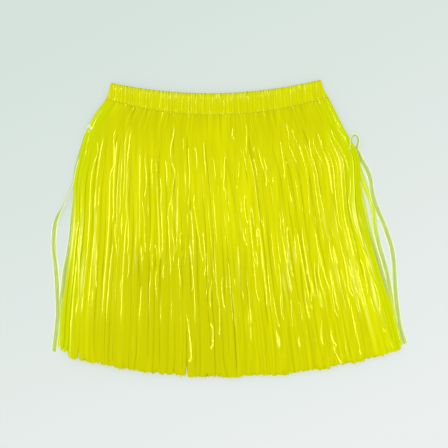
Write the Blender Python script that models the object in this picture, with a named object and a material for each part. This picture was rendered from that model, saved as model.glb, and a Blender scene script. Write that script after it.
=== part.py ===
"""Grass skirt of plastic film, laid flat: film fringe gathered on an elastic waistband.

Metres, +Z up. The skirt lies on its back on Z = 0, waist toward +Y and hem toward -Y,
with the origin under the middle of its outline. Sizes below are in millimetres.
"""
import math
from collections import namedtuple

import bmesh
import bpy
from mathutils import Vector

MM = 0.001

# Film layers
WALL = 1.5              # one gathered layer of film
GAP = 0.3               # clearance at a seam and between touching layers
HOLLOW = 0.6            # empty space between the front and the back of the skirt
ROLL = 9.0              # width of the rounded side edge
ROLL_STEPS = (0.0, 2.0, 5.0, ROLL)
ACROSS = 34             # divisions of a layer between its rounded edges
UNDER_HEM_LIFT = 3.0    # the under layers end this much above the outer hem

# Waistband
CASING_WALL = 1.0
ELASTIC_THICKNESS = 1.0
ELASTIC_TOP = 0.16      # share of the band's height at the elastic's upper edge
ELASTIC_BOTTOM = 0.86
BAND_WAIST = 0.5        # one more row half-way down, for the curve of the band's sides
BAND_HALF = CASING_WALL + GAP + ELASTIC_THICKNESS / 2
BAND_TURN = HOLLOW / 2 + BAND_HALF      # radius of the band's middle at the side turns
BAND_MIDDLE = HOLLOW / 2 + 2 * BAND_HALF    # height of the middle of the whole loop
BAND_ACROSS = 26
TURN_STEPS = 4
GATHER_DEPTH = 0.5      # deepest gather on the outside of the casing
GATHER_STRIDE = 2.4     # radians from one gather to the next, uneven on purpose

# Pleats that run down the film
PLEATS = 11.0           # pleats across one side
PLEAT_WANDER = 0.35
FRONT_PHASE = 0.4
BACK_PHASE = 2.3

# Loose strips of the fringe
STRIP_WIDTH = 5.2
STRIP_THICKNESS = 1.0
STRIP_STEP = 11.0       # spacing of a strip's sections along its route

# An arc across the skirt: its two ends and how far its middle sags toward the hem
Arc = namedtuple("Arc", "left_x left_y right_x right_y sag")
WAIST_TOP = Arc(-169.0, 205.0, 131.3, 209.5, 16.5)
WAIST_SEAM = Arc(-176.0, 182.0, 141.5, 185.0, 24.0)
WAIST_FLARE = 2.0       # the band's sides stand upright at its top and lean out at its seam

# One row for each section down the film, with the depth of the pleats there
Section = namedtuple("Section", "arc pleat")
SECTIONS = (
    Section(WAIST_SEAM, 0.2),
    Section(Arc(-195.0, 155.5, 155.5, 157.0, 27.0), 0.5),
    Section(Arc(-204.5, 133.0, 166.5, 134.5, 29.5), 0.8),
    Section(Arc(-213.5, 102.0, 182.5, 103.0, 32.0), 0.9),
    Section(Arc(-220.5, 68.0, 184.0, 69.0, 33.5), 1.0),
    Section(Arc(-222.0, 22.5, 185.5, 24.0, 34.0), 1.1),
    Section(Arc(-224.5, -14.5, 195.0, -13.0, 34.5), 1.1),
    Section(Arc(-230.0, -59.5, 207.5, -59.5, 35.5), 1.2),
    Section(Arc(-234.0, -106.5, 221.5, -106.5, 36.0), 1.2),
    Section(Arc(-234.5, -141.5, 232.0, -140.5, 37.0), 1.1),
    Section(Arc(-235.0, -180.5, 240.5, -171.5, 34.5), 1.0),
)

# Routes of the loose strips; turn is the angle at which the strip stands on its edge
Point = namedtuple("Point", "x y turn")
LOOSE_STRIPS = {
    "loose_strip_left_outer": (
        Point(-223.9, 64.0, 0), Point(-232.5, 39.5, 0), Point(-243.5, 20.5, 0),
        Point(-248.5, -1.0, 0), Point(-249.5, -24.0, 0), Point(-247.0, -52.5, 0),
        Point(-245.0, -89.5, 0), Point(-244.2, -122.0, 0), Point(-249.0, -175.5, 0),
    ),
    "loose_strip_left_inner": (
        Point(-227.5, -13.0, 0), Point(-233.0, -57.0, 0), Point(-237.4, -102.0, 0),
        Point(-238.0, -144.5, 0), Point(-238.4, -170.0, 0),
    ),
    "loose_strip_right_curled": (
        Point(166.6, 136.2, 90), Point(173.0, 135.7, 90), Point(179.5, 132.5, 90),
        Point(183.0, 127.5, 80), Point(184.0, 120.5, 60), Point(186.5, 109.0, 25),
        Point(193.5, 89.0, 0), Point(200.5, 73.5, 0), Point(202.5, 53.5, 0),
        Point(210.0, 28.0, 0), Point(224.5, -8.5, 0), Point(233.0, -42.0, 0),
        Point(235.5, -79.5, 0), Point(238.6, -115.0, 0), Point(242.3, -138.0, 0),
        Point(250.2, -163.5, 0),
    ),
    "loose_strip_right_middle": (
        Point(186.9, 76.0, 0), Point(193.5, 55.0, 0), Point(202.0, 32.0, 0),
        Point(207.0, 2.5, 0), Point(214.0, -28.5, 0), Point(223.5, -62.5, 0),
        Point(229.5, -98.0, 0), Point(234.5, -133.0, 0), Point(243.8, -166.5, 0),
    ),
    "loose_strip_right_inner": (
        Point(188.4, 39.0, 0), Point(190.5, 22.0, 0), Point(198.8, -13.0, 0),
        Point(207.5, -45.0, 0), Point(217.5, -80.5, 0),
    ),
}

Finish = namedtuple("Finish", "color roughness")
FILM = Finish((0.70, 0.74, 0.01, 1.0), 0.30)
ELASTIC = Finish((0.80, 0.80, 0.76, 1.0), 0.80)


def clear_scene():
    for item in list(bpy.data.objects):
        bpy.data.objects.remove(item)


def make_material(name, finish):
    material = bpy.data.materials.new(name)
    material.use_nodes = True
    shader = material.node_tree.nodes["Principled BSDF"]
    shader.inputs["Base Color"].default_value = finish.color
    shader.inputs["Roughness"].default_value = finish.roughness
    shader.inputs["Metallic"].default_value = 0.0
    material.diffuse_color = finish.color
    return material


def add_solid(name, points, faces, finish, parent):
    """Make one closed solid from points in millimetres, with its faces turned outward."""
    mesh = bpy.data.meshes.new(name)
    mesh.from_pydata([Vector(point) * MM for point in points], [], faces)
    shape = bmesh.new()
    shape.from_mesh(mesh)
    bmesh.ops.triangulate(shape, faces=shape.faces)
    bmesh.ops.recalc_face_normals(shape, faces=shape.faces)
    shape.to_mesh(mesh)
    shape.free()
    mesh.shade_smooth()
    mesh.set_sharp_from_angle(angle=math.radians(40))
    mesh.materials.append(make_material(name, finish))
    solid = bpy.data.objects.new(name, mesh)
    solid.parent = parent
    bpy.context.scene.collection.objects.link(solid)
    return solid


def on_arc(arc, share):
    """Point at a share of the way from an arc's left end to its right end."""
    sag = arc.sag * 4 * share * (1 - share)
    x = arc.left_x + (arc.right_x - arc.left_x) * share
    y = arc.left_y + (arc.right_y - arc.left_y) * share - sag
    return x, y


def blend_sections(above, below, share):
    """The section at a share of the way from one row to the next."""
    ends = zip(above.arc, below.arc)
    arc = Arc(*(first + (second - first) * share for first, second in ends))
    return Section(arc, above.pleat + (below.pleat - above.pleat) * share)


def sweep_closed(rings):
    """Points and faces of a tube whose last ring meets its first."""
    count = len(rings[0])
    points = [point for ring in rings for point in ring]
    faces = []
    for ring in range(len(rings)):
        following = (ring + 1) % len(rings)
        for side in range(count):
            other = (side + 1) % count
            faces.append((ring * count + side, ring * count + other,
                          following * count + other, following * count + side))
    return points, faces


def sweep_open(rings):
    """Points and faces of a bar with flat ends."""
    points, faces = sweep_closed(rings)
    count = len(rings[0])
    last = len(points) - count
    faces = [face for face in faces if not (min(face) < count and max(face) >= last)]
    faces.append(tuple(range(count)))
    faces.append(tuple(range(last, len(points))))
    return points, faces


# Waistband ------------------------------------------------------------------------------

def band_stations():
    """Share across the waist and direction outward, all round the flattened loop."""
    quarter = math.pi / 2
    stations = []
    for step in range(BAND_ACROSS + 1):
        stations.append((step / BAND_ACROSS, quarter))
    for step in range(1, TURN_STEPS):
        stations.append((1.0, quarter - math.pi * step / TURN_STEPS))
    for step in range(BAND_ACROSS + 1):
        stations.append((1 - step / BAND_ACROSS, -quarter))
    for step in range(1, TURN_STEPS):
        stations.append((0.0, -quarter - math.pi * step / TURN_STEPS))
    return stations


def band_point(share, direction, drop, out):
    """Point on the band: drop is the share of its height, out the distance outward."""
    inset = BAND_TURN + BAND_HALF
    top_x, top_y = on_arc(WAIST_TOP, share)
    seam_x, seam_y = on_arc(WAIST_SEAM, share)
    x = top_x + (seam_x - top_x) * drop ** WAIST_FLARE + inset * (1 - 2 * share)
    y = top_y + (seam_y - top_y) * drop
    reach = BAND_TURN + out
    return x + reach * math.cos(direction), y, BAND_MIDDLE + reach * math.sin(direction)


def gather_at(station, direction):
    """Depth of the gather at a station; the back stays flat where it rests."""
    front = max(0.0, math.sin(direction))
    return GATHER_DEPTH * front * abs(math.sin(GATHER_STRIDE * station))


def make_casing(parent):
    half = BAND_HALF
    slot = half - CASING_WALL
    fold = (
        (1.0, half), (ELASTIC_BOTTOM, half), (BAND_WAIST, half),
        (0.12, half), (0.03, 0.65 * half), (0.0, 0.0), (0.03, -0.65 * half), (0.12, -half),
        (BAND_WAIST, -half), (ELASTIC_BOTTOM, -half), (1.0, -half),
        (1.0, -slot), (ELASTIC_BOTTOM, -slot), (BAND_WAIST, -slot), (ELASTIC_TOP - 0.02, -slot),
        (ELASTIC_TOP - 0.02, slot), (BAND_WAIST, slot), (ELASTIC_BOTTOM, slot), (1.0, slot),
    )
    rings = []
    for station, (share, direction) in enumerate(band_stations()):
        depth = gather_at(station, direction)
        ring = []
        for drop, out in fold:
            gathered = out - depth if out == half else out
            ring.append(band_point(share, direction, drop, gathered))
        rings.append(ring)
    points, faces = sweep_closed(rings)
    add_solid("waistband_casing", points, faces, FILM, parent)


def make_elastic(parent):
    half = ELASTIC_THICKNESS / 2
    section = ((ELASTIC_TOP, half), (ELASTIC_TOP, -half), (BAND_WAIST, -half),
               (ELASTIC_BOTTOM, -half), (ELASTIC_BOTTOM, half), (BAND_WAIST, half))
    rings = []
    for share, direction in band_stations():
        rings.append([band_point(share, direction, drop, out) for drop, out in section])
    points, faces = sweep_closed(rings)
    add_solid("waistband_elastic", points, faces, ELASTIC, parent)


# Film layers ----------------------------------------------------------------------------

def pleat_wave(share, phase):
    """Uneven pleats across the film, from 0 in the troughs to 1 on the highest ridges."""
    wander = PLEAT_WANDER * math.sin(2 * math.pi * 1.7 * share + phase)
    ridge = 0.5 + 0.5 * math.sin(2 * math.pi * (PLEATS * share + wander) + phase)
    height = 0.7 + 0.3 * math.sin(2 * math.pi * 2.3 * share + 2 * phase)
    return ridge * height


def columns_across(width):
    """Distances from the left edge: close together on the rounded edges, even between."""
    middle = [ROLL + (width - 2 * ROLL) * step / ACROSS for step in range(1, ACROSS)]
    right = [width - step for step in reversed(ROLL_STEPS)]
    return list(ROLL_STEPS) + middle + right


def layer_heights(section, share, from_edge):
    """Undersides and tops of the four layers, from the floor up, at one place."""
    back_pleat = section.pleat * pleat_wave(share, BACK_PHASE)
    front_pleat = section.pleat * pleat_wave(share, FRONT_PHASE)
    rise = math.sqrt(1 - (1 - min(from_edge / ROLL, 1.0)) ** 2)
    back_outer = (0.0, WALL + back_pleat * rise)
    under = back_outer[1] + GAP
    back_inner = (under, under + WALL)
    under = back_inner[1] + HOLLOW
    front_inner = (under, under + WALL + front_pleat * rise)
    level = front_inner[1] + GAP
    seat = back_outer[1] + GAP
    under = seat + (level - seat) * rise
    front_outer = (under, under + WALL)
    return {
        "film_back_outer": back_outer,
        "film_back_inner": back_inner,
        "film_front_inner": front_inner,
        "film_front_outer": front_outer,
    }


def make_film(name, is_under, parent):
    """One layer of film, header and fringe together, as a wall with a top and an underside."""
    skip = 0
    sections = list(SECTIONS)
    if is_under:
        skip = len(ROLL_STEPS) - 1
        last_drop = SECTIONS[-2].arc.left_y - SECTIONS[-1].arc.left_y
        sections[-1] = blend_sections(*SECTIONS[-2:], 1 - UNDER_HEM_LIFT / last_drop)
    tops = []
    undersides = []
    for row, section in enumerate(sections):
        arc = section.arc
        width = arc.right_x - arc.left_x
        shift = -GAP if row == 0 else 0.0
        columns = columns_across(width)
        top = []
        underside = []
        for column in columns[skip:len(columns) - skip]:
            share = column / width
            x, y = on_arc(arc, share)
            low, high = layer_heights(section, share, min(column, width - column))[name]
            top.append((x, y + shift, high))
            underside.append((x, y + shift, low))
        tops.append(top)
        undersides.append(underside)
    points, faces = close_wall(tops, undersides)
    add_solid(name, points, faces, FILM, parent)


def close_wall(tops, undersides):
    """Points and faces of a wall between two grids, closed along its four edges."""
    rows = len(tops)
    across = len(tops[0])
    points = [point for row in tops + undersides for point in row]
    faces = []
    for row in range(rows - 1):
        for column in range(across - 1):
            near = row * across + column
            far = near + across
            faces += [(near, near + 1, far + 1), (near, far + 1, far)]
            near += rows * across
            far += rows * across
            faces += [(near, far + 1, near + 1), (near, far, far + 1)]
    rim = list(range(across))
    rim += [row * across + across - 1 for row in range(1, rows)]
    rim += [(rows - 1) * across + column for column in range(across - 2, -1, -1)]
    rim += [row * across for row in range(rows - 2, 0, -1)]
    below = rows * across
    for place, corner in enumerate(rim):
        following = rim[(place + 1) % len(rim)]
        faces.append((corner, corner + below, following + below, following))
    return points, faces


# Loose strips ---------------------------------------------------------------------------

def smooth_route(route):
    """Even sections along a Catmull-Rom curve through the route's points."""
    ends = [route[0]] + list(route) + [route[-1]]
    sections = []
    for index in range(1, len(ends) - 2):
        before, start, end, after = (Vector(ends[index + step]) for step in (-1, 0, 1, 2))
        length = (end.xy - start.xy).length
        steps = max(1, round(length / STRIP_STEP))
        for step in range(steps):
            t = step / steps
            sections.append(0.5 * (2 * start + (end - before) * t
                                   + (2 * before - 5 * start + 4 * end - after) * t ** 2
                                   + (3 * start - before - 3 * end + after) * t ** 3))
    sections.append(Vector(route[-1]))
    return sections


def make_strip(name, route, parent):
    """A strip that lies on the floor, or stands on its edge where its route turns it."""
    sections = smooth_route(route)
    rings = []
    for index, section in enumerate(sections):
        before = sections[max(index - 1, 0)]
        after = sections[min(index + 1, len(sections) - 1)]
        along = (after.xy - before.xy).normalized()
        turn = math.radians(section.z)
        side = Vector((along.y, -along.x, 0.0))
        across = side * math.cos(turn) + Vector((0.0, 0.0, math.sin(turn)))
        through = Vector((0.0, 0.0, math.cos(turn))) - side * math.sin(turn)
        across *= STRIP_WIDTH / 2
        through *= STRIP_THICKNESS / 2
        middle = Vector((section.x, section.y, abs(across.z) + abs(through.z)))
        rings.append([middle + across + through, middle - across + through,
                      middle - across - through, middle + across - through])
    points, faces = sweep_open(rings)
    add_solid(name, points, faces, FILM, parent)


def main():
    clear_scene()
    skirt = bpy.data.objects.new("grass_skirt", None)
    bpy.context.scene.collection.objects.link(skirt)
    make_casing(skirt)
    make_elastic(skirt)
    make_film("film_back_outer", False, skirt)
    make_film("film_back_inner", True, skirt)
    make_film("film_front_inner", True, skirt)
    make_film("film_front_outer", False, skirt)
    for name, route in LOOSE_STRIPS.items():
        make_strip(name, route, skirt)


main()
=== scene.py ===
"""Looks of the grass skirt: cut film fringe on a gathered elastic waistband, lying flat.

Metres, +Z up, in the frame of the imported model. Everything random is seeded.
"""
import math
from collections import namedtuple

import bpy
import numpy as np
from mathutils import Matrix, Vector


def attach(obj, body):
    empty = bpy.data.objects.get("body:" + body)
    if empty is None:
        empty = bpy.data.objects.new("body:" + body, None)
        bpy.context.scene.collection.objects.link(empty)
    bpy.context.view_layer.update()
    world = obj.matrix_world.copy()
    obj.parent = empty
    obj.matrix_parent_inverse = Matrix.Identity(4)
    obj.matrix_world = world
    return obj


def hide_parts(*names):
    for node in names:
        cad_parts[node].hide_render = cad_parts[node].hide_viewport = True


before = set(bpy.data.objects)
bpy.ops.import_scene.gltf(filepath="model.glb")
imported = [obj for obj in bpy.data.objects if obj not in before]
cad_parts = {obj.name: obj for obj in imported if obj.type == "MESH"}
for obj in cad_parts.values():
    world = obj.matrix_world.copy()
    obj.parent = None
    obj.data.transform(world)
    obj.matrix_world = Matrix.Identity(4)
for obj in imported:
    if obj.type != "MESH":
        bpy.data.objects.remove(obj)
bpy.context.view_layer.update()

MM = 0.001
TAU = 2 * math.pi

# ---- Driving sizes, in millimetres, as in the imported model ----

STRIP_WIDTH = 5.2
FILM_THICKNESS = 0.12
STRIPS = 110  # strips in one layer on one side
STRIP_COLUMNS = 5  # points across a strip
OUTER_ROWS = 84  # points along a strip in the layers that show
INNER_ROWS = 52  # and in the layers under them
ROLL = 9.0  # width of the rounded side edge
TURNS = 14  # most turns that a strip makes on its way down
FILM_LENGTH = 372.0  # from the waistband's seam to the hem
FLOOR_GAP = 0.02  # below whatever lies lowest
LOWEST = FILM_THICKNESS / 2 + FLOOR_GAP  # that the middle of the film comes down to
SHARP_ANGLE = 50  # degrees between faces that are shaded apart

# Arcs across the skirt from waist to hem: their ends and their middle's sag, and where they
# would end if the edges, which only the outermost strips follow, were as even as the inside
ARCS = np.array((
    # left x, left y, right x, right y, sag, even left x, even right x
    (-176, 182, 141.5, 185, 24, -176, 141.5),
    (-195, 155.5, 155.5, 157, 27, -189, 155),
    (-204.5, 133, 166.5, 134.5, 29.5, -195, 165),
    (-213.5, 102, 182.5, 103, 32, -199, 178),
    (-220.5, 68, 184, 69, 33.5, -202, 188.5),
    (-222, 22.5, 185.5, 24, 34, -206, 201),
    (-224.5, -14.5, 195, -13, 34.5, -211, 210.5),
    (-230, -59.5, 207.5, -59.5, 35.5, -217, 222.5),
    (-234, -106.5, 221.5, -106.5, 36, -222, 235),
    (-234.5, -141.5, 232, -140.5, 37, -226, 243.5),
    (-235, -180.5, 240.5, -171.5, 34.5, -229, 250.5),
))
EDGE_REACH = 55.0  # how far into the skirt the edge's own shape is felt
WAIST_TOP = (-169.0, 205.0, 131.3, 209.5, 16.5)
WAIST_FLARE = 2.0  # the band's sides stand upright at its top and lean out at its seam
WAIST_SEAM = ARCS[0, :5]


# ---- Numbers ----

def smooth(values):
    """Smoothstep of values clipped to 0..1."""
    t = np.clip(values, 0.0, 1.0)
    return t * t * (3 - 2 * t)


def ease(values, start, length):
    """Rises smoothly from 0 at the start to 1 that length after it."""
    return smooth((values - start) / length)


def hermite(places, values, at):
    """Smooth curve through rows of values at rising places."""
    slopes = np.gradient(values, places, axis=0)
    index = np.clip(np.searchsorted(places, at) - 1, 0, len(places) - 2)
    span = (places[index + 1] - places[index])[..., None]
    t = (at - places[index])[..., None] / span
    first, second = values[index], values[index + 1]
    return ((1 + 2 * t) * (1 - t) ** 2 * first + t * (1 - t) ** 2 * span * slopes[index]
            + t * t * (3 - 2 * t) * second + t * t * (t - 1) * span * slopes[index + 1])


def wander(rng, count, at, rates):
    """Smooth random curves along at, one row for each of count, from rows of rate and size."""
    total = 0
    for rate, size in rates:
        phase = rng.uniform(0, TAU, (count, 1))
        own = rate * rng.uniform(0.75, 1.3, (count, 1))
        total += size * np.sin(TAU * own * at + phase)
    return total


def twists(rng, start, at, size):
    """Roll of each strip along at: straight stretches between turns, none before its start."""
    rolls = np.zeros((len(start), len(at)))
    for strip, first in enumerate(start):
        gaps = rng.uniform(0.05, 0.18, TURNS)
        gaps[0] = rng.uniform(0.03, 0.08)
        places = first + np.concatenate(([0.0], np.cumsum(gaps)))
        turns = np.concatenate(([0.0], rng.normal(0, 1, TURNS)))
        rolls[strip] = size[strip] * np.interp(at, places, turns)
    return rolls


def hill(values, middle, reach):
    """1 at the middle, falling to about a third at the reach on both sides of it."""
    return np.exp(-((values - middle) / reach) ** 2)


# Where each arc lies, as a share of the film's length
ARC_PLACES = np.concatenate(([0.0], np.cumsum(-np.diff((ARCS[:, 1] + ARCS[:, 3]) / 2))))
ARC_PLACES = ARC_PLACES / ARC_PLACES[-1]


def flow(u, v):
    """Point x, y on the skirt: u from 0 at its left edge to 1, v from the seam to the hem."""
    arc = hermite(ARC_PLACES, ARCS, v)
    left_x, left_y, right_x, right_y, sag, left, right = np.moveaxis(arc, -1, 0)
    width = right_x - left_x
    near_left = np.exp(-u * width / EDGE_REACH) * smooth((1 - u) / 0.5)
    near_right = np.exp(-(1 - u) * width / EDGE_REACH) * smooth(u / 0.5)
    x = left + (right - left) * u + (left_x - left) * near_left + (right_x - right) * near_right
    return x, left_y + (right_y - left_y) * u - sag * 4 * u * (1 - u)


def width_at(v):
    """Width of the skirt from edge to edge."""
    arc = hermite(ARC_PLACES, ARCS, v)
    return arc[..., 2] - arc[..., 0]


# ---- Meshes ----

def add_object(name, data):
    thing = bpy.data.objects.new(name, data)
    bpy.context.scene.collection.objects.link(thing)
    return thing


def add_mesh(name, points, quads, material, values=None):
    """A smooth mesh from points in millimetres, with named values for each point."""
    mesh = bpy.data.meshes.new(name)
    mesh.vertices.add(len(points))
    mesh.vertices.foreach_set("co", (points * MM).ravel())
    mesh.loops.add(quads.size)
    mesh.loops.foreach_set("vertex_index", quads.ravel())
    mesh.polygons.add(len(quads))
    mesh.polygons.foreach_set("loop_start", np.arange(0, quads.size, 4))
    mesh.update(calc_edges=True)
    mesh.validate()
    for key, numbers in (values or {}).items():
        layer = mesh.attributes.new(key, "FLOAT", "POINT")
        layer.data.foreach_set("value", numbers)
    mesh.shade_smooth()
    mesh.set_sharp_from_angle(angle=math.radians(SHARP_ANGLE))
    mesh.materials.append(material)
    return add_object(name, mesh)


def grid_quads(index):
    """Quads between neighbours in a grid of point numbers, shape (..., rows, columns)."""
    corners = (index[..., :-1, :-1], index[..., 1:, :-1], index[..., 1:, 1:], index[..., :-1, 1:])
    return np.stack(corners, axis=-1).reshape(-1, 4)


def add_film(name, grid, index, normals, material, values):
    """A sheet of film along a grid of points numbered by index: two sides, each half its
    thickness off the grid, closed by a rim, with values for each point."""
    half = normals * FILM_THICKNESS / 2
    points = np.stack((grid + half, grid - half)).reshape(-1, 3)
    count = len(points) // 2
    quads = grid_quads(index)
    edges = np.concatenate([quads[:, [a, (a + 1) % 4]] for a in range(4)])
    keys = np.sort(edges, axis=1) @ (count, 1)
    _, first, times = np.unique(keys, return_index=True, return_counts=True)
    rim = edges[first[times == 1]]
    wall = np.concatenate((rim[:, ::-1], rim + count), axis=1)
    quads = np.concatenate((quads, quads[:, ::-1] + count, wall))
    used, inverse = np.unique(quads, return_inverse=True)
    values = {key: np.tile(np.broadcast_to(numbers, grid.shape[:-1]).ravel(), 2)[used]
              for key, numbers in values.items()}
    return add_mesh(name, points[used], inverse.reshape(quads.shape), material, values)


def cupped(across, cup, roll, width=STRIP_WIDTH):
    """A strip's section: across it from -1 to 1, bent by cup and rolled by roll, in radians."""
    half = width / 2
    bend = cup * across
    flat_a = half * across * np.sinc(bend / math.pi)
    flat_h = -half * across * bend / 2 * np.sinc(bend / TAU) ** 2
    a = flat_a * np.cos(roll) - flat_h * np.sin(roll)
    return a, flat_a * np.sin(roll) + flat_h * np.cos(roll)


def grid_normals(grid):
    """Unit normals of a grid of points, shape (..., rows, columns, 3), up for +X, -Y grids."""
    normal = np.cross(np.gradient(grid, axis=-3), np.gradient(grid, axis=-2))
    return normal / np.maximum(np.linalg.norm(normal, axis=-1, keepdims=True), 1e-9)


# ---- Film layers ----

# How far the outermost strips of each layer spread beyond the side edge, along the film
FLARE_PLACES = (0, 0.12, 0.22, 0.32, 0.44, 0.55, 0.68, 0.81, 0.9, 1)
FLARE_LEFT = (0, 0, 0.3, 0.6, 0.9, 1.2, 1.5, 2.7, 4.5, 4.8)
FLARE_RIGHT = (0, 0, 2, 2.4, 4.4, 4.8, 6, 7.6, 5.6, 4.4)
FLARE_STRIPS = 6  # strips at each side that spread
HEM_LENGTH = 476.0  # along the hem from side to side

# The hem's strips hang in groups cut together
GROUP_WIDTHS = (8.0, 24.0)  # narrowest and widest
GROUP_STEP = 0.9  # usual difference in length
GAP_SHARE = 0.45  # of the groups have an open gap beside them
GAP_WIDTHS = (0.6, 1.5)
CLOSED_GAP = 0.2
GAP_REACH = 7.0  # how far from a gap the strips make way for it
CORNER_WIDTH = 9.0  # of the group at the left corner, which ends higher
CORNER_STEP = -8.0
CORNER_GAP = 1.6
STRIP_STEP = 0.8  # usual difference in length within a group
SHORT_SHARE = 0.13  # of the strips are cut short
SHORT_BY = 3.2
STRIP_SLANT = 1.1  # usual slant of a strip's cut end

# Pleats of the header: how many across the skirt, and their share of the pleats' depth
FINE_PLEATS = ((71.3, 0.5), (46.7, 0.35), (103.9, 0.2))
BROAD_PLEATS = ((13.7, 0.6), (22.1, 0.4))
FINE_DEPTH = 0.24
BROAD_DEPTH = 0.1

# Shares of high slits, of lively strips and of those that cross others, and how many degrees
# crossing, other lively and calm strips lean
HIGH_SLITS = 0.14
LIVELY_SHARE = 0.6
CROSSING_SHARE = 0.33
LEANS = (2.6, 1.2, 0.5)
SIDE_SLIT = 0.09  # where the slits at the two sides start

# A layer of film: node, random seed, rows of points along a strip, height at the middle and
# at the side edges, rise toward the hem, distance from the sides as a share, how far its
# strips stand up and how much they stir, and its creases
Layer = namedtuple("Layer", "node seed rows level side_level hem_rise inset relief stir creases")


def side_rise(from_edge):
    """0 at the skirt's side edge, 1 where the rounded edge ends."""
    return np.sqrt(1 - (1 - np.clip(from_edge / ROLL, 0, 1)) ** 2)


def hem_shape(share, v):
    """Sideways shift and change of length near the hem, for strips at these shares."""
    rng = np.random.default_rng(5)
    ends = np.cumsum(rng.uniform(*GROUP_WIDTHS, 60))
    ends = ends[ends < HEM_LENGTH]
    steps = rng.normal(0, GROUP_STEP, len(ends) + 1)
    is_open = rng.random(len(ends)) < GAP_SHARE
    gaps = np.where(is_open, rng.uniform(*GAP_WIDTHS, len(ends)), CLOSED_GAP)
    ends = (CORNER_WIDTH, *ends[ends > CORNER_WIDTH + 5])
    gaps = (CORNER_GAP, *gaps)
    place = share * HEM_LENGTH
    boundary = (place[:-1] + place[1:]) / 2
    shift = 0
    for end, gap in zip(ends, gaps):
        nearest = boundary[np.argmin(np.abs(boundary - end))]
        away = np.where(place > nearest, gap, -gap)
        shift += (end - nearest + away) * np.exp(-np.abs(place - end) / GAP_REACH)
    step = np.array((CORNER_STEP, *steps))[np.searchsorted(ends, place)]
    return shift[:, None] * ease(v, 0.93, 0.07), step


def pleats(rng, share, rows, wave, sway):
    """Uneven pleats across the skirt, from rows of number and size, swaying in a slow wave."""
    total = 0
    for number, size in rows:
        bend = sway * np.sin(TAU * wave * share)
        total += size * np.sin(TAU * (number * share + bend) + rng.uniform(0, TAU))
    return total


def header(layer, share, v):
    """The uncut film: fine gathers at the seam and soft pleats below."""
    rng = np.random.default_rng(layer.seed + 100)
    u, v = share[:, None, :], v[:, None]
    x, y = flow(u, v)
    rise = side_rise(np.minimum(u, 1 - u) * width_at(v))
    fading = np.exp(-v / 0.03)
    pleat = FINE_DEPTH * pleats(rng, u, FINE_PLEATS, 7.3, 0.4) * fading
    pleat = pleat + BROAD_DEPTH * pleats(rng, u, BROAD_PLEATS, 3.1, 0.3) * (1 - 0.6 * fading)
    z = layer.side_level + (layer.level - layer.side_level) * rise + pleat * rise
    return np.stack((x, y, z), axis=-1)


def strip_lines(rng, share, v, lean, given):
    """Middle lines of the strips, which lean off the flow by about lean degrees or are
    shifted as given, their directions, distance from the side and change of length."""
    count = len(lean)
    order = np.arange(count)
    u = share[:, None]
    x, y = flow(u, v)
    along_x, along_y = np.gradient(x, axis=1), np.gradient(y, axis=1)
    length = np.hypot(along_x, along_y)
    along_x, along_y = along_x / length, along_y / length
    edge = np.minimum(u, 1 - u) * width_at(v)
    # Each strip leans one way, then bends once and leans back a little
    slope = np.tan(np.radians(lean)) * rng.normal(0, 1, count)
    after = -0.6 * slope + np.tan(np.radians(lean)) * rng.normal(0, 0.7, count)
    bend = ease(v, rng.uniform(0.3, 0.75, (count, 1)), 0.12)
    slopes = (slope[:, None] + (after - slope)[:, None] * bend) * ease(v, 0.08, 0.12)
    steps = (slopes[:, 1:] + slopes[:, :-1]) / 2 * np.diff(v) * FILM_LENGTH
    drift = np.concatenate((np.zeros((count, 1)), np.cumsum(steps, axis=1)), axis=1)
    drift *= (0.2 + 0.8 * smooth(edge / 25)) * (1 - 0.6 * ease(v, 0.7, 0.25))
    drift = np.where(np.isnan(given), drift, given)
    for from_side, table, way in ((order, FLARE_LEFT, -1), (order[::-1], FLARE_RIGHT, 1)):
        spread = np.clip(1 - from_side / FLARE_STRIPS, 0, 1) * rng.uniform(0.75, 1.1, count)
        drift += way * spread[:, None] * np.interp(v, FLARE_PLACES, table)
    shift, step = hem_shape(share, v)
    drift += shift
    return x - along_y * drift, y + along_x * drift, along_x, along_y, edge, step


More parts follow.
